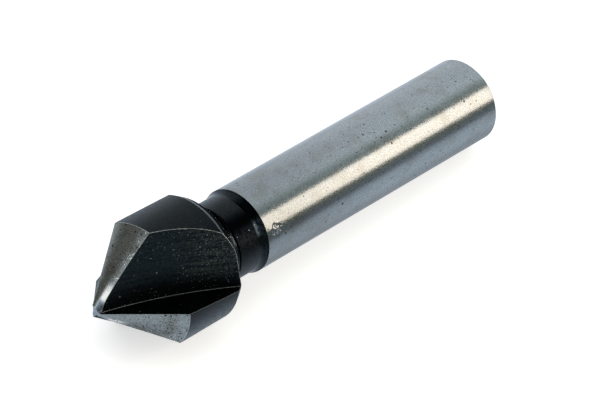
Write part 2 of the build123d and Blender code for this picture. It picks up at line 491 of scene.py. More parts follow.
# %% Ground steel: its grain, its stain, its pits and its edges
STEEL_GRAIN = 0.15                            # in millimetres, but really 0.01, too fine to show
STEEL_MARKS = 0.11                            # grinding lines, which are drawn coarser too
STEEL_MARKS_STRETCH = (6, 6, 1)               # the lines run round the bit and not along it
STEEL_TONES = (0.32, 0.68)                    # the noise values of the darkest and palest grain
STEEL_ROUGHNESS = (0.13, 0.21)
STEEL_EDGE = 0.08
STEEL_BRIGHT = colour("#e2e5e6")              # on an edge that is rubbed bright
STAIN_PATCH = 2.4
STAIN_SPREAD = (0.48, 0.70)                   # the noise values where stain starts and is full
PIT_PATCH = 3.0
PIT_SPREAD = (0.42, 0.56)
FEWEST_PITS = 0.25                            # as a share of the pits where they gather
SMALL_PITS = (0.20, 0.26)                     # how far apart, and up to how far across
LARGE_PITS = (0.36, 0.46)
LARGE_PIT_SHARE = 0.55
PIT_BROWN = colour("#2e271b")
PIT_COVER = 0.9                               # how fully a pit or a bright edge hides the grain
EDGE_COVER = 0.7
MARKS_IN_RELIEF = 0.35                        # the lines are this much as deep as the grain
NOISE_MOSTLY = (0.3, 0.7)                     # nearly all of a noise lies between these


def ground_steel(name, pale, dark, stain, stain_share, pit_share, grain_depth, wear=None):
    """High-speed steel, ground and left bare. wear adds this part's own marks and painted
    highlights.
    """
    material, tree, shader, place = new_material(name)
    marks = cloud(tree, place, STEEL_MARKS, stretch=STEEL_MARKS_STRETCH)
    grain = cloud(tree, place, STEEL_GRAIN, detail=3, seed=1.0)
    tone = add(tree, LAYER, [add(tree, FADE, [grain, *STEEL_TONES]), colour(dark), colour(pale)])
    patches = cloud(tree, place, STAIN_PATCH, detail=4, seed=3.0)
    stained = add(tree, FADE, [patches, *STAIN_SPREAD, 0.0, stain_share])
    tone = add(tree, LAYER, [stained, tone, colour(stain)])
    gathered = cloud(tree, place, PIT_PATCH, detail=2, seed=4.0)
    crowd = add(tree, FADE, [gathered, *PIT_SPREAD, pit_share * FEWEST_PITS, pit_share])
    dents = []
    if wear:
        tone, crowd, dents = wear(tree, place, tone, crowd)
    pits = add(tree, LARGER, [
        dots(tree, place, *SMALL_PITS, crowd),
        dots(tree, place, *LARGE_PITS, add(tree, TIMES, [crowd, LARGE_PIT_SHARE]), seed=5.0),
    ])
    tone = add(tree, LAYER, [add(tree, TIMES, [pits, PIT_COVER]), tone, PIT_BROWN])
    edge, rounded = worn_edge(tree, STEEL_EDGE)
    tone = add(tree, LAYER, [add(tree, TIMES, [edge, EDGE_COVER]), tone, STEEL_BRIGHT])
    tree.links.new(tone, shader.inputs["Base Color"])
    roughness = add(tree, FADE, [grain, *NOISE_MOSTLY, *STEEL_ROUGHNESS])
    tree.links.new(roughness, shader.inputs["Roughness"])
    relief_of_marks = (marks, grain_depth * MARKS_IN_RELIEF)
    roughen(tree, shader, [relief_of_marks, (grain, grain_depth), *dents], rounded)
    return material


print("ground steel has pits up to", LARGE_PITS[1], "mm across")

# %% [markdown]
# ## The tip and the end of the shank
# The flat at the point and the far end are faced off square. Nothing rubs them, so they are
# plain ground steel with a little stain. The tip is bluer, because it has been warm from
# cutting. Each could be a copy of one material with its colours changed by hand, but a function
# with the colours and the amounts as its arguments keeps the two of a kind.

# %% The tip and the end
materials = {
    "tip": ground_steel("ground_steel_tip", pale="#9aa5b0", dark="#7f8b96", stain="#6d6455",
                        stain_share=0.2, pit_share=0.05, grain_depth=0.004),
    "end": ground_steel("ground_steel_end", pale="#9aa2a6", dark="#7f878b", stain="#77746a",
                        stain_share=0.25, pit_share=0.05, grain_depth=0.006),
}
print("plain ground steel:", ", ".join(materials))

# %% [markdown]
# ## The three lands
# The lands do the cutting, and they show it. Rust has eaten brown pits into the land that lay
# uppermost. The heel, which is the back of each land, is ragged with pits where the stone ran
# out over the flute, and its white dots are painted glints, a painted highlight. Near the point
# the back of each land is painted nearly white, a painted highlight, and dull blue at the very
# end. A painted image could hold all this, but masks that follow the angle and the height put
# each mark in its place, and would still do so after a change of shape.

# %% The lands, with wear and painted highlights by angle and by height
# Each fade is named: where it starts and ends, and what it goes from and to if not 0 and 1.
PITTED_SIDE = (255.0, 80.0)                   # the middle and the reach of the side with most pits
PITS_ELSEWHERE = 0.15
PITS_BY_HEIGHT = (1.5, 5.0, 0.25, 1.0)
HEEL = (math.radians(30.0), math.radians(40.0))
BACK_OF_LAND = (math.radians(24.0), math.radians(34.0))
TIP_HIGHLIGHT_BY_HEIGHT = (2.5, 1.5, 0.0, 0.9)       # painted highlight near the point; heights are millimetres from the point
DULL_BY_HEIGHT = (1.0, 0.6)
HEEL_PITS = 0.2
HEEL_GLINTS = (0.16, 0.2)                     # how far apart, and up to how far across
HEEL_GLINT_SHARE = 0.5
# painted highlights: white glints on the heels, and the back of each land nearly white by the point
PAINTED_GLINT_WHITE = colour("#eef2f4")
TIP_HIGHLIGHT_WHITE = colour("#f4f2ee")
DULL_BLUE = colour("#7e8c9a")


def wear_and_highlights_of_lands(tree, place, tone, crowd):
    """Pits on one side and along the heels, painted glints on the heels, a painted highlight and a
    dull end.
    """
    height = add(tree, SPLIT, [place], "Z")
    past_edge = angle_past_edge(tree, place)
    heel = add(tree, FADE, [past_edge, *HEEL])
    back = add(tree, FADE, [past_edge, *BACK_OF_LAND])
    pitted = near_angle(tree, angle_round(tree, place), *PITTED_SIDE)
    pitted = add(tree, TIMES_PLUS, [pitted, 1 - PITS_ELSEWHERE, PITS_ELSEWHERE])
    crowd = add(tree, TIMES, [crowd, add(tree, FADE, [height, *PITS_BY_HEIGHT])])
    crowd = add(tree, TIMES, [crowd, pitted])
    crowd = add(tree, TIMES_PLUS, [heel, HEEL_PITS, crowd])
    # painted glints, a painted highlight: white dots along the heels
    glinting = add(tree, TIMES, [heel, HEEL_GLINT_SHARE])
    painted_glints = dots(tree, place, *HEEL_GLINTS, glinting, seed=11.0)
    tone = add(tree, LAYER, [painted_glints, tone, PAINTED_GLINT_WHITE])
    # painted highlight: the back of each land is painted nearly white near the point
    painted_highlight_zone = add(tree, TIMES, [add(tree, FADE, [height, *TIP_HIGHLIGHT_BY_HEIGHT]), back])
    tone = add(tree, LAYER, [painted_highlight_zone, tone, TIP_HIGHLIGHT_WHITE])
    dull = add(tree, TIMES, [add(tree, FADE, [height, *DULL_BY_HEIGHT]), back])
    return add(tree, LAYER, [dull, tone, DULL_BLUE]), crowd, []


materials["lands"] = ground_steel(
    "ground_steel_lands", pale="#9ba2a3", dark="#737a79", stain="#4c4332",
    stain_share=0.5, pit_share=1.0, grain_depth=0.012, wear=wear_and_highlights_of_lands)
print("the lands have most pits within", PITTED_SIDE[1], "degrees of", PITTED_SIDE[0])

# %% [markdown]
# ## The shank
# The shank is ground to a close fit for the chuck, so it is the smoothest part of the bit. Its
# colour is laid greyer towards the neck, and a jaw of the chuck has struck a ding into its
# front. The ding could be cut into the mesh, but it is shallow, so crumpled relief in the
# material is enough for it.

# %% The shank, greyer towards the neck, and its ding
DARKER_TOWARDS_NECK = (44.0, 21.0, 0.0, 0.30)
NECK_SIDE_GREY = colour("#565c5c")
DING_ANGLE = math.radians(-137.0)
DING_HEIGHT = 23.2
DING_REACH = (1.1, 0.4)                       # where the ding starts, and where it is whole
DING_FOLD = 0.6
DING_DEPTH = 0.3                              # for noise from 0 to 1, of which it uses the middle
NOISE_MIDDLE = 0.5
ding_place = Vector((
    SHANK_RADIUS * math.cos(DING_ANGLE), SHANK_RADIUS * math.sin(DING_ANGLE), DING_HEIGHT,
))


def wear_of_shank(tree, place, tone, crowd):
    """A grey that grows towards the neck, and one ding."""
    # the shank's colour is laid greyer towards the neck
    towards_neck = add(tree, FADE, [add(tree, SPLIT, [place], "Z"), *DARKER_TOWARDS_NECK])
    tone = add(tree, LAYER, [towards_neck, tone, NECK_SIDE_GREY])
    struck = add(tree, FADE, [add(tree, DISTANCE, [place, ding_place]), *DING_REACH])
    folds = add(tree, MINUS, [cloud(tree, place, DING_FOLD, detail=1, seed=2.0), NOISE_MIDDLE])
    return tone, crowd, [(add(tree, TIMES, [folds, struck]), DING_DEPTH)]


materials["shank"] = ground_steel(
    "ground_steel_shank", pale="#9ea6aa", dark="#838b8f", stain="#77746a",
    stain_share=0.35, pit_share=0.07, grain_depth=0.008, wear=wear_of_shank)
print("the ding is", round(DING_HEIGHT - shank_start, 2), "mm behind the front of the shank")

# %% [markdown]
# ## Black oxide
# In a bath of hot salts the steel's own surface turns to a skin of black oxide, about a
# thousandth of a millimetre thick. It could be shaded as a dark plastic, but the eye knows the
# difference: the skin is nearly black head on and grey when seen along the surface. A metal
# with a very dark colour and a nearly white edge tint does that, and a trace of sheen gives
# the bloom of oil. The skin keeps the marks of the tool below it, and it chips to bare steel.

# %% Black oxide: how thick the skin is, and its shine
OXIDE_GRAIN = 0.26                            # its crystals are far finer, and are drawn coarser
OXIDE_TONES = (0.36, 0.64)
MARKS_IN_MOTTLE = 0.5                         # the rest of the mottle is grain
OXIDE_ROUGHNESS = (0.75, 1.25)                # shares of the roughness, over the grain
EDGE_TINT = colour("#f4f9fd")
SHADE_TINT = colour("#101112")                 # painted shade: where it is painted, the skin stays black even along the surface
SHEEN_TINT = colour("#dfe9f2")
SHEEN_ROUGHNESS = 0.4
MARK_DEPTH = 0.0015                           # the relief of the tool's marks and of the grain
GRAIN_DEPTH = 0.004


def oxide_skin(tree, place, marks, deep, pale):
    """The grain of the skin, its mottle of grain and tool marks, and the tone they give."""
    grain = cloud(tree, place, OXIDE_GRAIN, detail=4)
    of_grain = add(tree, TIMES, [grain, 1 - MARKS_IN_MOTTLE])
    mottle = add(tree, TIMES_PLUS, [marks, MARKS_IN_MOTTLE, of_grain])
    thick = add(tree, FADE, [mottle, *OXIDE_TONES])
    return grain, mottle, add(tree, LAYER, [thick, colour(deep), colour(pale)])


def finish_oxide(tree, shader, tone, marks, grain, roughness, sheen, normal=None, painted_shade=None):
    """Gives the shader the skin's tone, its tinted and sheeny shine, and its fine relief."""
    tree.links.new(tone, shader.inputs["Base Color"])
    shader.inputs["Specular Tint"].default_value = EDGE_TINT
    # painted shade: the edge tint goes black where shade is painted
    if painted_shade is not None:
        tint = add(tree, LAYER, [painted_shade, EDGE_TINT, SHADE_TINT])
        tree.links.new(tint, shader.inputs["Specular Tint"])
    shader.inputs["Sheen Weight"].default_value = sheen
    shader.inputs["Sheen Roughness"].default_value = SHEEN_ROUGHNESS
    shader.inputs["Sheen Tint"].default_value = SHEEN_TINT
    limits = [roughness * share for share in OXIDE_ROUGHNESS]
    rough = add(tree, FADE, [grain, *NOISE_MOSTLY, *limits])
    tree.links.new(rough, shader.inputs["Roughness"])
    roughen(tree, shader, [(marks, MARK_DEPTH), (grain, GRAIN_DEPTH)], normal)


print("the skin's grain is drawn", OXIDE_GRAIN, "mm across")

# %% Black oxide: its chips and its broken edges
OXIDE_EDGE = 0.085
CHIP_PATCH = 1.8
CHIP_SPREAD = (0.40, 0.60, 0.15, 1.0)
SMALL_CHIPS = (0.16, 0.15)                    # how far apart, and up to how far across
LARGE_CHIPS = (0.36, 0.27)
LARGE_CHIP_SHARE = 0.4
CHIP_COVER = 0.8                              # a chip keeps a trace of the skin's tone
CHIP_STEEL = colour("#a3a6a2")
EDGE_STEEL = colour("#c3cacc")
BROKEN_GRAIN = (0.30, 0.50)                   # the noise values where an edge breaks
LEAST_BROKEN = 0.6                            # as a share of the wear where it is broken most


def crowd_of_chips(tree, place):
    """Where chips gather: 1 in the thick of them, and a small share elsewhere."""
    patches = cloud(tree, place, CHIP_PATCH, detail=3, seed=7.0)
    return add(tree, FADE, [patches, *CHIP_SPREAD])


def chip(tree, place, tone, crowd, chip_share):
    """Lays bare steel over the tone, in small and large chips."""
    share = add(tree, TIMES, [crowd, chip_share])
    chips = add(tree, LARGER, [
        dots(tree, place, *SMALL_CHIPS, share, seed=2.0),
        dots(tree, place, *LARGE_CHIPS, add(tree, TIMES, [share, LARGE_CHIP_SHARE]), seed=4.0),
    ])
    return add(tree, LAYER, [add(tree, TIMES, [chips, CHIP_COVER]), tone, CHIP_STEEL])


def break_edges(tree, tone, grain, wear, bright_edge_share, radius=OXIDE_EDGE):
    """Lays a bright steel colour over the tone along sharp edges, and gives the rounded normal too.
    """
    edge, rounded = worn_edge(tree, radius)
    broken = add(tree, FADE, [grain, *BROKEN_GRAIN, wear * LEAST_BROKEN, wear])
    broken = add(tree, TIMES, [add(tree, TIMES, [edge, broken]), bright_edge_share])
    return add(tree, LAYER, [broken, tone, EDGE_STEEL]), rounded


print("chips are up to", LARGE_CHIPS[1], "mm across")

# %% [markdown]
# ## The margins and the rear bevel
# The outside of the head was turned, and the black skin has kept the fine rings of the lathe.
# A wave texture would make them too even, so they are noise that is eight times as long round
# the bit as along it. The edges are worn to bright steel, but hardly at all close behind each
# cutting edge. The foot of the bevel is painted shade, with a black edge tint, which leaves a
# thin bright line.

# %% Turned black oxide, on the margins and the rear bevel
LATHE_MARKS = 0.12                            # the lathe's rings, drawn coarser than they are
LATHE_MARKS_STRETCH = (8, 8, 1)
SPARED_EDGE = (math.radians(8.0), math.radians(28.0), 0.2, 1.0)
# the painted shade at the bevel's foot: the radius where it starts, and where it is full
BEVEL_FOOT = (HEAD_RADIUS - 0.25, HEAD_RADIUS - 0.45)
BEVEL_EDGE = 0.18


def from_axis(tree, place):
    """How far a place is from the axis."""
    parts = add(tree, SPLIT, [place]).node.outputs
    return add(tree, LENGTH, [add(tree, JOIN, [parts["X"], parts["Y"]])])


def turned_oxide(name, deep, pale, roughness, chip_share, edge_wear, sheen,
                 edge_radius=OXIDE_EDGE, shaded_foot=None):
    """Black oxide on turned steel with worn edges, and with painted shade at a foot if it has one.
    """
    material, tree, shader, place = new_material(name)
    marks = cloud(tree, place, LATHE_MARKS, detail=3, stretch=LATHE_MARKS_STRETCH)
    grain, _, tone = oxide_skin(tree, place, marks, deep, pale)
    tone = chip(tree, place, tone, crowd_of_chips(tree, place), chip_share)
    bright_edge_share = add(tree, FADE, [angle_past_edge(tree, place), *SPARED_EDGE])
    tone, rounded = break_edges(tree, tone, grain, edge_wear, bright_edge_share, edge_radius)
    painted_shade = None
    # painted shade at the foot of the bevel
    if shaded_foot:
        painted_shade = add(tree, FADE, [from_axis(tree, place), *shaded_foot])
    finish_oxide(tree, shader, tone, marks, grain, roughness, sheen, rounded, painted_shade)
    return material


materials["margin"] = turned_oxide(
    "black_oxide_margin", deep="#15181a", pale="#1e2325", roughness=0.34,
    chip_share=0.01, edge_wear=0.7, sheen=0.045)
materials["rear"] = turned_oxide(
    "black_oxide_rear_bevel", deep="#14181b", pale="#22282c", roughness=0.32,
    chip_share=0.02, edge_wear=0.8, sheen=0.03, edge_radius=BEVEL_EDGE, shaded_foot=BEVEL_FOOT)
print("soot covers the bevel from a radius of", BEVEL_FOOT[1], "mm inwards")

# %% [markdown]
# ## The neck and its two sweeps
# A blue-grey track, strong on the two sweeps and faint on the neck, is a painted highlight, and
# chips of bare steel gather in it. One side is painted shade: black, with a black edge tint.
# The two sweeps are smoother than the neck, because a form tool cut them in one pass, and they
# shine more. The marks could be painted on, but a mask by angle keeps them in place: the track
# follows the angle past each cutting edge, and the painted shade follows the angle round the
# whole bit.

# %% Black oxide with painted shade, and a painted highlight track where chips gather
CHIP_TRACK_AND_HIGHLIGHT = (92.0, 18.0)                     # painted highlight and chips: the middle and the reach, past a cutting edge
HIGHLIGHT_GRAIN = (0.40, 0.56)
SHADE_IN_ROOT = (168.0, 50.0)                  # painted shade: the middle and the reach, round the bit
SHADE_ON_NECK = (198.0, 30.0)
SHADE_ON_SHOULDER = (182.0, 32.0)
SHADE_BLACK = colour("#030405")
TRACK_HIGHLIGHT_BLUE = colour("#333f4b")
CHIPS_OFF_TRACK = 0.2
LINE_SHADE_REACH = TURNING_LINE_WIDTH * 0.7          # painted shade: the groove is painted black this far from its middle
LINE_SHADE_BLACK = colour("#020203")


def oxide_with_painted_light(name, deep, pale, roughness, chip_share, sheen, shade, track_highlight_share):
    """Black oxide on turned steel, with painted shade on one side and a painted highlight track."""
    material, tree, shader, place = new_material(name)
    marks = cloud(tree, place, LATHE_MARKS, detail=3, stretch=LATHE_MARKS_STRETCH)
    grain, _, tone = oxide_skin(tree, place, marks, deep, pale)
    # painted shade: one side is laid black, by the angle round the bit
    painted_shade = near_angle(tree, angle_round(tree, place), *shade)
    tone = add(tree, LAYER, [painted_shade, tone, SHADE_BLACK])
    # painted highlight: a blue-grey track past each cutting edge, where chips also gather
    painted_highlight_zone = near_angle(tree, angle_past_edge(tree, place), *CHIP_TRACK_AND_HIGHLIGHT)
    broken_highlight = add(tree, TIMES, [painted_highlight_zone, add(tree, FADE, [grain, *HIGHLIGHT_GRAIN])])
    track_highlight = add(tree, TIMES, [broken_highlight, track_highlight_share])
    tone = add(tree, LAYER, [track_highlight, tone, TRACK_HIGHLIGHT_BLUE])
    # painted shade: the turning line's groove is laid black
    line_shade = add(tree, CLOSE_TO, [add(tree, SPLIT, [place], "Z"), line_middle, LINE_SHADE_REACH])
    tone = add(tree, LAYER, [line_shade, tone, LINE_SHADE_BLACK])
    off_track = add(tree, TIMES, [crowd_of_chips(tree, place), CHIPS_OFF_TRACK])
    crowd = add(tree, LARGER, [off_track, painted_highlight_zone])
    tone = chip(tree, place, tone, crowd, chip_share)
    painted_shade = add(tree, TIMES, [painted_shade, add(tree, MINUS, [1.0, broken_highlight])])
    finish_oxide(tree, shader, tone, marks, grain, roughness, sheen, painted_shade=painted_shade)
    return material


materials["root"] = oxide_with_painted_light(
    "black_oxide_root", deep="#14181a", pale="#23292d", roughness=0.20,
    chip_share=0.06, sheen=0.02, shade=SHADE_IN_ROOT, track_highlight_share=0.9)
materials["neck"] = oxide_with_painted_light(
    "black_oxide_neck", deep="#111416", pale="#222729", roughness=0.32,
    chip_share=0.03, sheen=0.06, shade=SHADE_ON_NECK, track_highlight_share=0.1)
materials["shoulder"] = oxide_with_painted_light(
    "black_oxide_shoulder", deep="#14181a", pale="#262c30", roughness=0.20,
    chip_share=0.05, sheen=0.03, shade=SHADE_ON_SHOULDER, track_highlight_share=0.9)
print("chips leave", CHIP_TRACK_AND_HIGHLIGHT[0], "degrees past each cutting edge")

# %% [markdown]
# ## The flutes' black skin
# The flutes were ground before the bath, so their skin shows the long lines that the wheel's
# grit left. A UV map could turn the lines, but it is simpler to ask where each point was on the
# wheel: noise that is 40 times as long round the wheel's axis as along it bends just as the
# cut does. The corner beside the cutting face is painted near black, as painted shade, and the
# cutting face is the same skin laid near black, painted shade too. Dust lies where the floor
# rises to the back of the head, and bare steel shows in chips there and along the corner.

# %% Black oxide that the wheel has cut
WHEEL_MARKS = 0.13                            # the grit's lines, drawn coarser than they are
WHEEL_MARKS_STRETCH = (40, 40, 1)
SHADE_FROM_SIDE = (3.6, 0.3, 0.0, 0.8)         # painted shade in the corner, by the distance from the wheel's side
DUST_FROM_SIDE = (0.6, 3.0, 0.0, 0.45)
CHIPS_FROM_SIDE = (1.3, 0.2, 0.0, 0.8)
EDGE_FROM_SIDE = (0.2, 0.9, 0.4, 1.0)
DUST_BY_HEIGHT = (9.0, 12.5)
CHIPS_BY_HEIGHT = (8.0, 12.5, 0.12, 1.0)
DUSTY_MOTTLE = (0.44, 0.60)
# painted shade in the flute's corner
CORNER_SHADE_BLACK = colour("#020304")
DUST = colour("#5c5d52")


def wheel_cut_oxide(name, deep, pale, roughness, chip_share, edge_wear, sheen):
    """Black oxide on a flute, with the wheel's lines, painted shade in the corner, dust and chips.
    """
    material, tree, shader, place = new_material(name)
    on_wheel = wheel_place(tree, place)
    marks = cloud(tree, on_wheel, WHEEL_MARKS, detail=3, stretch=WHEEL_MARKS_STRETCH)
    grain, mottle, tone = oxide_skin(tree, place, marks, deep, pale)
    from_side = add(tree, SPLIT, [on_wheel], "Z")
    height = add(tree, SPLIT, [place], "Z")
    # painted shade: the corner beside the cutting face is laid near black
    corner_shade = add(tree, FADE, [from_side, *SHADE_FROM_SIDE])
    tone = add(tree, LAYER, [corner_shade, tone, CORNER_SHADE_BLACK])
    on_floor = add(tree, FADE, [from_side, *DUST_FROM_SIDE])
    lying = add(tree, TIMES, [add(tree, FADE, [height, *DUST_BY_HEIGHT]), on_floor])
    dusty = add(tree, TIMES, [lying, add(tree, FADE, [mottle, *DUSTY_MOTTLE])])
    tone = add(tree, LAYER, [dusty, tone, DUST])
    chipped = add(tree, LARGER, [
        add(tree, FADE, [from_side, *CHIPS_FROM_SIDE]),
        add(tree, FADE, [height, *CHIPS_BY_HEIGHT]),
    ])
    crowd = add(tree, TIMES, [crowd_of_chips(tree, place), chipped])
    tone = chip(tree, place, tone, crowd, chip_share)
    # along the flute's inner corner the bright edge colour is a painted highlight; on outer edges it
    # is worn steel
    bright_edge_share = add(tree, FADE, [from_side, *EDGE_FROM_SIDE])
    tone, rounded = break_edges(tree, tone, grain, edge_wear, bright_edge_share)
    finish_oxide(tree, shader, tone, marks, grain, roughness, sheen, rounded)
    return material


materials["flute floor"] = wheel_cut_oxide(
    "black_oxide_flute_floor", deep="#20282e", pale="#364147", roughness=0.38,
    chip_share=0.9, edge_wear=1.0, sheen=0.03)
# painted shade: the cutting face is the same skin as the floor, laid near black
materials["cutting face"] = wheel_cut_oxide(
    "black_oxide_cutting_face", deep="#040405", pale="#09090a", roughness=0.45,
    chip_share=0.22, edge_wear=0.7, sheen=0.0)
print("materials:", ", ".join(material.name for material in materials.values()))

# %% Give the blank its finishes, and a slot for each that the wheel will bring
blank_finishes = list(dict.fromkeys(finish for finish, _ in outline))
for finish in blank_finishes + ["flute floor", "cutting face"]:
    blank_mesh.materials.append(materials[finish])
face_slots = [blank_finishes.index(finish) for finish in face_finishes]
blank_mesh.polygons.foreach_set("material_index", face_slots)
print("the blank has", len(blank_mesh.materials), "material slots")

# %% [markdown]
# ## The flutes, ground by a wheel in Geometry Nodes
# The three flutes are sunk one after another by the same wheel, with the bit turned on between
# them. They could be modelled by hand, but where a round wheel meets a cone it leaves edges
# that no one would guess, and a boolean finds them exactly. The tree makes the wheel, stands
# one copy for each flute round the axis, and takes them all from the blank. The wheel carries
# the flute's two materials, one on its rim and one on its side, and hands them on to its cut.

# %% The grinding tree and its named inputs
grinding = bpy.data.node_groups.new("wheel_grinding", "GeometryNodeTree")
interface = grinding.interface
interface.new_socket("Blank", in_out="INPUT", socket_type="NodeSocketGeometry")
inputs = {
    "Flutes": ("NodeSocketInt", FLUTES),
    "Wheel Radius": ("NodeSocketFloat", WHEEL_RADIUS),
    "Wheel Width": ("NodeSocketFloat", WHEEL_WIDTH),
    "Rim Rise": ("NodeSocketFloat", WHEEL_WIDTH * math.tan(RIM_TAPER)),
    "Side Hollow": ("NodeSocketFloat", WHEEL_RADIUS * math.tan(SIDE_RELIEF)),
    "Wheel Centre": ("NodeSocketVector", list(wheel_centre)),
    "Wheel Turn": ("NodeSocketVector", list(wheel_turn.to_euler())),
    "Rim Material": ("NodeSocketMaterial", materials["flute floor"]),
    "Side Material": ("NodeSocketMaterial", materials["cutting face"]),
    "Black Skin": ("NodeSocketMaterial", materials["margin"]),
    "Land Material": ("NodeSocketMaterial", materials["lands"]),
}
identifiers = {
    name: interface.new_socket(name, in_out="INPUT", socket_type=socket_type).identifier
    for name, (socket_type, _) in inputs.items()
}
interface.new_socket("Bit", in_out="OUTPUT", socket_type="NodeSocketGeometry")
given = add(grinding, "NodeGroupInput").node.outputs
print("the tree takes:", ", ".join(inputs))

# %% The wheel: a slightly tapered disc, hollow on its side, in its place by the first flute
WHEEL_CORNERS = 512
AT_THE_HUB = 0.001                            # nearer than this, a point is the hub's middle
LESS = ("FunctionNodeCompare", {"operation": "LESS_THAN"})
BOTH = ("FunctionNodeBooleanMath", {"operation": "AND"})

disc = add(grinding, "GeometryNodeMeshCone", {
    "Vertices": WHEEL_CORNERS, "Side Segments": 1, "Fill Segments": 1,
    "Radius Bottom": given["Wheel Radius"], "Depth": given["Wheel Width"],
    "Radius Top": add(grinding, PLUS, [given["Wheel Radius"], given["Rim Rise"]]),
}, fill_type="TRIANGLE_FAN")
position = add(grinding, "GeometryNodeInputPosition")
near_axis = add(grinding, LESS, [from_axis(grinding, position), AT_THE_HUB])
near_side = add(grinding, LESS, [add(grinding, SPLIT, [position], "Z"), AT_THE_HUB])
dished = add(grinding, "GeometryNodeSetPosition", {
    "Geometry": disc, "Selection": add(grinding, BOTH, [near_axis, near_side]),
    "Offset": add(grinding, JOIN, {"Z": given["Side Hollow"]}),
})
rimmed = add(grinding, "GeometryNodeSetMaterial", {
    "Geometry": dished, "Material": given["Rim Material"],
})
sided = add(grinding, "GeometryNodeSetMaterial", {
    "Geometry": rimmed, "Selection": disc.node.outputs["Bottom"],
    "Material": given["Side Material"],
})
wheel = add(grinding, "GeometryNodeTransform", {
    "Geometry": sided, "Translation": given["Wheel Centre"], "Rotation": given["Wheel Turn"],
})
print("the wheel is a disc with", WHEEL_CORNERS, "corners")

# %% One wheel for each flute, and all of them taken from the blank
stops = add(grinding, "GeometryNodePoints", {"Count": given["Flutes"]})
step = add(grinding, OVER_BY, [WHOLE_TURN, given["Flutes"]])
turned_by = add(grinding, TIMES, [add(grinding, "GeometryNodeInputIndex"), step])
wheels = add(grinding, "GeometryNodeInstanceOnPoints", {
    "Points": stops, "Instance": wheel, "Rotation": add(grinding, JOIN, {"Z": turned_by}),
})
fluted = add(grinding, "GeometryNodeMeshBoolean", {
    "Mesh 1": given["Blank"], "Mesh 2": wheels,
}, operation="DIFFERENCE", solver="MANIFOLD")
single = add(grinding, "GeometryNodeRealizeInstances", {"Geometry": fluted})
print("the tree turns the wheels by", round(math.degrees(SECTOR)), "degrees from flute to flute")

# %% [markdown]
# ## The lands ground bright
# The last grinding takes the black skin off the three lands of the cone. Their faces could be
# chosen by hand, but the tree can find them: they are the ones that are still black and that
# look towards the point, which is down while the bit stands upright. That stays right when the
# number of flutes or the wheel changes.

# %% Bright lands, and the end of the tree
TOWARDS_POINT = -0.35                         # a cone face's normal has a Z of about -0.7
still_black = add(grinding, "GeometryNodeMaterialSelection", [given["Black Skin"]])
slope = add(grinding, SPLIT, [add(grinding, "GeometryNodeInputNormal")], "Z")
on_lands = add(grinding, BOTH, [still_black, add(grinding, LESS, [slope, TOWARDS_POINT])])
bright = add(grinding, "GeometryNodeSetMaterial", {
    "Geometry": single, "Selection": on_lands, "Material": given["Land Material"],
})
add(grinding, "NodeGroupOutput", [bright])
print("the grinding tree has", len(grinding.nodes), "nodes")

# %% Run the tree, keep its result as a plain mesh, and lay it down
modifier = blank.modifiers.new("wheel_grinding", "NODES")
modifier.node_group = grinding
for name, (_, value) in inputs.items():
    modifier[identifiers[name]] = value
depsgraph = bpy.context.evaluated_depsgraph_get()
bit_mesh = bpy.data.meshes.new_from_object(blank.evaluated_get(depsgraph))
blank.modifiers.clear()
bpy.data.objects.remove(blank)
bit_mesh.transform(lay_down)
bit_mesh.update()
bit = bpy.data.objects.new("ground_countersink", bit_mesh)
bpy.context.scene.collection.objects.link(bit)
print("ground:", len(bit_mesh.vertices), "points,", len(bit_mesh.polygons), "faces")

# %% Smooth shading with sharp edges, the imported part hidden, and the piece attached
SHARP_ANGLE = math.radians(20.0)              # two ground surfaces meet more sharply than this
NODE = "countersink_bit"
bit_mesh.shade_smooth()
bit_mesh.set_sharp_from_angle(angle=SHARP_ANGLE)

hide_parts(NODE)
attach(bit, "root")
print(bit.name, "stands for", NODE)

# %% [markdown]
# ## The camera
# A small tool is shown from above at about 40 degrees, with a long lens from half a metre
# away, so that its far end looks hardly smaller than its near end. A constraint could aim the
# camera at the bit, but then the framing would shift with whatever it is aimed at. Its axes
# are written out here: which way is right in the frame, which way is up, and so which is back.

# %% The camera
CAMERA_PLACE = Vector((-0.282015, -0.218297, 0.319310))
CAMERA_RIGHT = Vector((0.68297, -0.72109, 0.11657))
CAMERA_UP = Vector((0.42198, 0.51975, 0.74282))
SENSOR_WIDTH = 36.0
FOCAL_LENGTH = 257.27
NEAREST_SEEN = 0.01

camera_data = bpy.data.cameras.new("camera")
camera_data.sensor_width = SENSOR_WIDTH
camera_data.lens = FOCAL_LENGTH
camera_data.clip_start = NEAREST_SEEN
camera = bpy.data.objects.new("camera", camera_data)
bpy.context.scene.collection.objects.link(camera)
camera_axes = Matrix((CAMERA_RIGHT, CAMERA_UP, CAMERA_RIGHT.cross(CAMERA_UP))).transposed()
camera.matrix_world = Matrix.Translation(CAMERA_PLACE) @ camera_axes.to_4x4()
bpy.context.scene.camera = camera
print("the camera stands", round(CAMERA_PLACE.length, 3), "metres away")

# %% [markdown]
# ## The table
# The bit lies on white paper. More light could turn the paper white, but it would bleach the
# steel as well, so a little emission does it, on Light Path's camera rays alone. Ground steel
# mirrors the table too, so glossy and transmission rays see a white glow. It falls off under
# the bit and towards the front, as on a sheet that is shaded there, and that gives the steel
# the darker bands along its underside. The paper's own colour still takes the bit's shadow.

# %% The table
TABLE_HALF = 2.0
corners = [(-TABLE_HALF, -TABLE_HALF, 0), (TABLE_HALF, -TABLE_HALF, 0),
           (TABLE_HALF, TABLE_HALF, 0), (-TABLE_HALF, TABLE_HALF, 0)]
floor_mesh = bpy.data.meshes.new("table")
floor_mesh.from_pydata(corners, [], [(0, 1, 2, 3)])
floor = bpy.data.objects.new("table", floor_mesh)
bpy.context.scene.collection.objects.link(floor)
print("the table is", 2 * TABLE_HALF, "metres square")

# %% The table's white paper
PAPER_GLOW = 0.6                              # lifts the paper to white for the camera
PAPER_ROUGHNESS = 0.9
PAPER_SPECULAR = 0.1
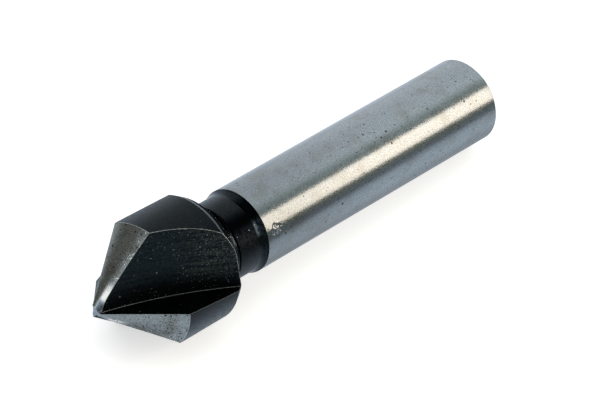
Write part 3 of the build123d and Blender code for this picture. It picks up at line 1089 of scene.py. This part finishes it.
# Each fade of the mirrored glow: between which places in metres, and what it goes from and to.
SHINE_IN_FRONT = (-0.045, -0.012, 0.33, 1.0)
SHINE_BESIDE_BIT = (0.0035, 0.0095, 0.5, 0.97)
SHINE_PAST_TIP = (-0.024, -0.031, 0.0, 0.95)

white = bpy.data.materials.new("white_table")
white.use_nodes = True
tree = white.node_tree
paper = tree.nodes["Principled BSDF"]
paper.inputs["Base Color"].default_value = colour("#ececec")
paper.inputs["Roughness"].default_value = PAPER_ROUGHNESS
paper.inputs["Specular IOR Level"].default_value = PAPER_SPECULAR
paper.inputs["Emission Color"].default_value = (1, 1, 1, 1)
ray = add(tree, "ShaderNodeLightPath").node.outputs
seen_glow = add(tree, TIMES, [ray["Is Camera Ray"], PAPER_GLOW])
tree.links.new(seen_glow, paper.inputs["Emission Strength"])

spot = add(tree, SPLIT, [add(tree, "ShaderNodeTexCoord", output="Object")]).node.outputs
far_shine = add(tree, FADE, [spot["Y"], *SHINE_IN_FRONT])
near_shine = add(tree, FADE, [add(tree, SIZE_OF, [spot["Y"]]), *SHINE_BESIDE_BIT])
past_tip = add(tree, FADE, [spot["X"], *SHINE_PAST_TIP])
shine = add(tree, TIMES, [far_shine, add(tree, LARGER, [near_shine, past_tip])])
glow = add(tree, "ShaderNodeEmission", {"Color": colour("#ecf5ff"), "Strength": shine})
reflected = add(tree, LARGER, [ray["Is Glossy Ray"], ray["Is Transmission Ray"]])
surface = add(tree, "ShaderNodeMixShader", [reflected, paper.outputs["BSDF"], glow])
tree.links.new(surface, tree.nodes["Material Output"].inputs["Surface"])
floor_mesh.materials.append(white)
print("the glow is whole", SHINE_BESIDE_BIT[1] / MM, "mm away from the bit's middle")

# %% [markdown]
# ## The tent round the table
# A shiny tool is pictured in a tent of pale cloth, because metal shows only what is round it.
# The tent could be a mesh, but the world does the same with no light lost. One colour ramp runs
# round the bit's axis, pale overhead and behind, and grey in front, above and below the soft
# box. A grey card hangs where the upper land mirrors it. In flat white the steel would have no
# shape at all. The camera itself sees a plain white backdrop.

# %% The tent, as a ramp of colours round the bit
AXIS_UP = Vector((0.0314, -0.5859, 0.8098))   # across the bit, up and to the front
AXIS_BACK = Vector((0.0227, 0.8104, 0.5855))  # across the bit, up and to the back
TENT = [                                      # degrees from AXIS_UP towards AXIS_BACK
    (-180, "#f4f6f8"), (-90, "#dfe4ea"), (-75, "#8c8e8a"), (-60, "#74786b"), (-45, "#868b80"),
    (-36, "#868b80"), (-4, "#b0b6b0"), (14, "#b4bcb8"), (26, "#e6edee"), (36, "#f8fdff"),
    (60, "#f4f8fc"), (80, "#f0f4f8"), (120, "#f4f8fc"), (180, "#f4f6f8"),
]

world = bpy.data.worlds.new("studio")
bpy.context.scene.world = world
world.use_nodes = True
tree = world.node_tree
direction = add(tree, "ShaderNodeTexCoord", output="Generated")
towards_up = add(tree, ALONG, [direction, AXIS_UP])
towards_back = add(tree, ALONG, [direction, AXIS_BACK])
round_bit = add(tree, ANGLE_OF, [towards_back, towards_up])
cloth = add(tree, "ShaderNodeValToRGB", [add(tree, TIMES_PLUS, [round_bit, 1 / WHOLE_TURN, 0.5])])
stops_of_ramp = cloth.node.color_ramp.elements
while len(stops_of_ramp) < len(TENT):
    stops_of_ramp.new(1.0)                    # at the end for now, and placed just below
for stop, (degrees, hex_code) in zip(stops_of_ramp, TENT):
    stop.position = (degrees + 180) / 360
    stop.color = colour(hex_code)
print("the tent's ramp has", len(TENT), "colours")

# %% The grey card, and the white backdrop that the camera sees
CARD = Vector((-0.48, 0.77, 0.42))            # the direction of the card's middle
CARD_SPREAD = (0.85, 0.985)                   # how well a ray agrees with it, edge to middle
TENT_STRENGTH = 1.1

on_card = add(tree, FADE, [add(tree, ALONG, [direction, CARD]), *CARD_SPREAD])
tent = tree.nodes["Background"]
tent.inputs["Strength"].default_value = TENT_STRENGTH
tree.links.new(add(tree, LAYER, [on_card, cloth, colour("#7f7d76")]), tent.inputs["Color"])
backdrop = add(tree, "ShaderNodeBackground", [(1, 1, 1, 1), 1.0])
is_camera = add(tree, "ShaderNodeLightPath", output="Is Camera Ray")
shown = add(tree, "ShaderNodeMixShader", [is_camera, tent.outputs["Background"], backdrop])
tree.links.new(shown, tree.nodes["World Output"].inputs["Surface"])
print("the card fills", round(2 * math.degrees(math.acos(CARD_SPREAD[0]))), "degrees of the tent")

# %% [markdown]
# ## The warm soft box
# One warm soft box lights the bit from the front and above. It is about eight times as long
# as the bit, so the round shank shows it as one clean band from end to end. It could be a
# bright patch in the world, but a lamp is sampled better, and its size is a real one in metres.

# %% The soft box
BOX_DISTANCE = 0.5
BOX_ANGLE = math.radians(-19.5)               # from AXIS_UP, away from AXIS_BACK
BOX_SPREAD = math.radians(35.5)               # how wide the box looks from the bit
BOX_LENGTH = 0.5
BOX_SHIFT = 0.40                              # towards the shank, as the camera is past the tip
BOX_BRIGHTNESS = 3.2
AXIS_HEIGHT = 0.0057                          # of the shank's axis above the table

box_side = (AXIS_UP * math.cos(BOX_ANGLE) + AXIS_BACK * math.sin(BOX_ANGLE)).normalized()
box_width = 2 * BOX_DISTANCE * math.tan(BOX_SPREAD / 2)
light = bpy.data.lights.new("soft_box", "AREA")
light.shape = "RECTANGLE"
light.size = BOX_LENGTH
light.size_y = box_width
light.color = colour("#ffe8d3")[:3]
light.energy = BOX_BRIGHTNESS * math.pi * BOX_LENGTH * box_width
lamp = bpy.data.objects.new("soft_box", light)
bpy.context.scene.collection.objects.link(lamp)
lamp_axes = Matrix((shank_axis, box_side.cross(shank_axis), box_side)).transposed()
lamp_place = Vector((0, 0, AXIS_HEIGHT)) + box_side * BOX_DISTANCE + shank_axis * BOX_SHIFT
lamp.matrix_world = Matrix.Translation(lamp_place) @ lamp_axes.to_4x4()
bpy.context.scene.view_settings.view_transform = "Standard"
print("the soft box is", BOX_LENGTH, "by", round(box_width, 3), "metres")
